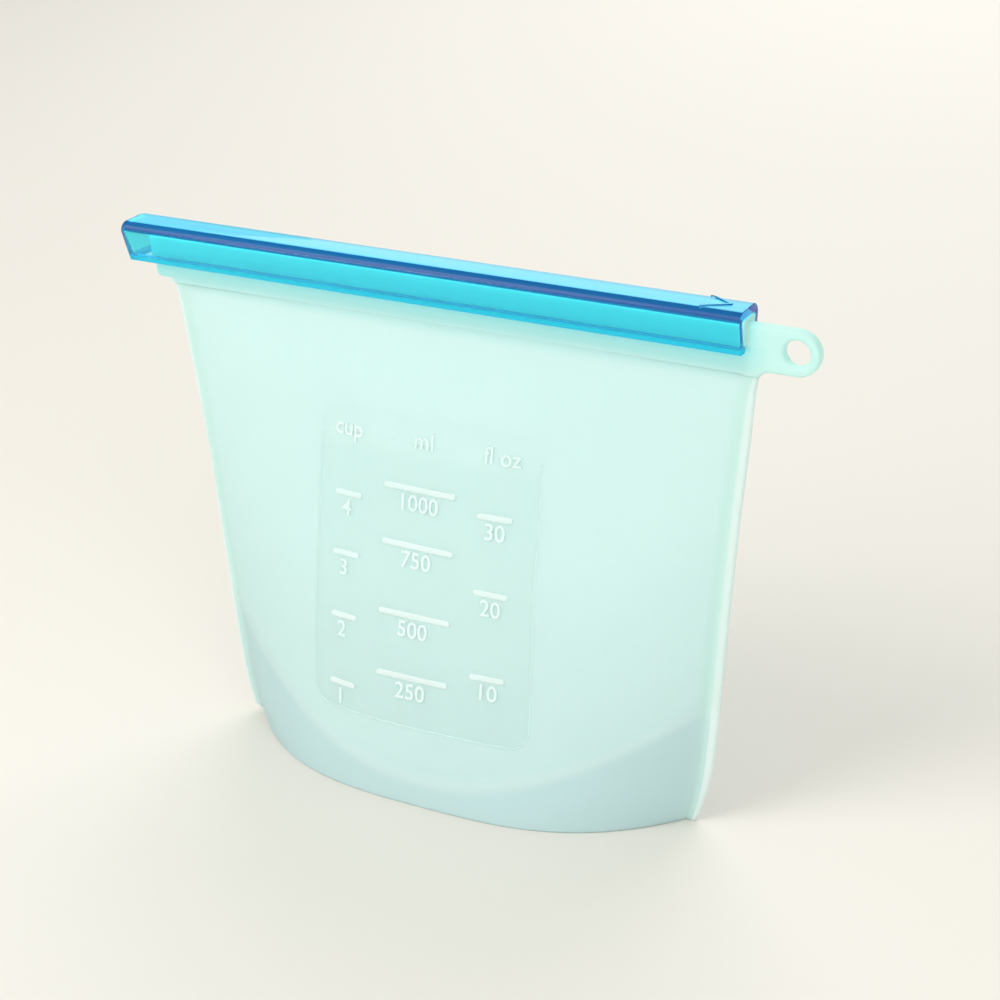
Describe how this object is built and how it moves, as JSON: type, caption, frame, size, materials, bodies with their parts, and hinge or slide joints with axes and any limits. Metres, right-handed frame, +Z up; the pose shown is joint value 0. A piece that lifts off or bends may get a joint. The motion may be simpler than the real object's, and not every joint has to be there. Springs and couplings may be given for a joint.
{
  "type": "reusable silicone storage bag",
  "caption": "Stand-up translucent silicone food bag with a folded base gusset, a hanging tab and a rigid bar that slides over its beaded mouth to seal it.",
  "frame": {"origin": "middle of the pouch's open base on the table, in the plane where the front and back walls are bonded", "axes": "+X along the mouth towards the hanging tab, +Y towards the back wall, +Z up"},
  "size_m": [0.2205, 0.0584, 0.1611],
  "materials": {
    "silicone": "frosted translucent mint silicone",
    "tinted_plastic": "clear cyan plastic, polished"
  },
  "bodies": {
    "mouth": {"front_lip": "silicone", "back_lip": "silicone", "hang_tab": "silicone", "base_gusset": "silicone"},
    "front_panel": {"front_wall": "silicone"},
    "back_panel": {"back_wall": "silicone"},
    "bar": {"seal_bar": "tinted_plastic"}
  },
  "joints": [
    {"name": "bar_slide", "type": "slide", "parent": "mouth", "child": "bar", "axis": [-1, 0, 0], "range_m": [0, 0.205]},
    {"name": "front_fold", "type": "hinge", "parent": "mouth", "child": "front_panel", "pos_m": [0, -0.0012, 0.1425], "axis": [1, 0, 0], "range_deg": [0, 10.6], "stiffness_Nm_per_rad": 0.4, "deforming": ["front_wall", "base_gusset"]},
    {"name": "back_fold", "type": "hinge", "parent": "mouth", "child": "back_panel", "pos_m": [0, 0.0012, 0.1425], "axis": [-1, 0, 0], "range_deg": [0, 10.6], "stiffness_Nm_per_rad": 0.4, "deforming": ["back_wall"]}
  ],
  "couplings": [
    {"joint": "back_fold", "follows": "front_fold", "ratio": 1}
  ]
}
